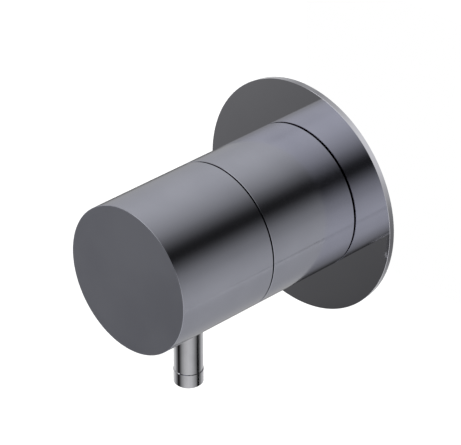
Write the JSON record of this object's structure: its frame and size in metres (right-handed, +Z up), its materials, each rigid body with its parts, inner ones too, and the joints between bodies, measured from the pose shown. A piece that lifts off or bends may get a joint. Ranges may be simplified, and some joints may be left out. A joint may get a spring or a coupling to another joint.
{
  "type": "concealed stop valve",
  "caption": "Wall-mounted concealed stop valve: round handle with a lever pin, fixed sleeve, thin rosette, ceramic quarter-turn headwork and brass in-wall body.",
  "frame": {"origin": "on the valve axis in the plane of the finished wall, which is the rosette's back face", "axes": "+Z up, -Y out of the wall along the valve axis towards the user, +X to the user's right, towards the outlet port"},
  "size_m": [0.072, 0.126, 0.08],
  "materials": {
    "brushed_gunmetal": "brass with a brushed dark grey coating",
    "polished_gunmetal": "steel with a polished dark grey coating",
    "polished_steel": "polished steel with a grey tint",
    "forged_brass": "forged and blasted brass",
    "turned_brass": "turned brass",
    "screw_steel": "stainless steel",
    "white_ceramic": "lapped alumina ceramic",
    "black_rubber": "black rubber",
    "white_nylon": "natural white plastic",
    "red_fibre": "pressed red fibre",
    "grey_foam": "closed-cell foam"
  },
  "bodies": {
    "valve": {"valve_body": "forged_brass", "headwork_body": "turned_brass", "headwork_gasket": "red_fibre", "seat_seal": "black_rubber", "lower_disc": "white_ceramic", "thrust_washer": "white_nylon", "rosette": "polished_gunmetal", "rosette_seal": "grey_foam", "sleeve": "brushed_gunmetal", "sleeve_o_ring": "black_rubber", "glide_ring": "white_nylon"},
    "handle": {"handle_shell": "brushed_gunmetal", "handle_hub": "turned_brass", "hub_clamp_screw": "screw_steel", "lever_stud": "screw_steel", "lever_pin": "polished_steel", "lever_end_cap": "polished_steel", "extension_spindle": "turned_brass", "extension_screw": "screw_steel", "lock_washer": "screw_steel", "spindle": "turned_brass", "spindle_o_rings": "black_rubber", "spindle_circlip": "screw_steel", "disc_driver": "white_nylon", "upper_disc": "white_ceramic"}
  },
  "joints": [
    {"name": "handle_turn", "type": "hinge", "parent": "valve", "child": "handle", "pos_m": [0, 0, 0], "axis": [0, -1, 0], "range_deg": [0, 90]}
  ]
}
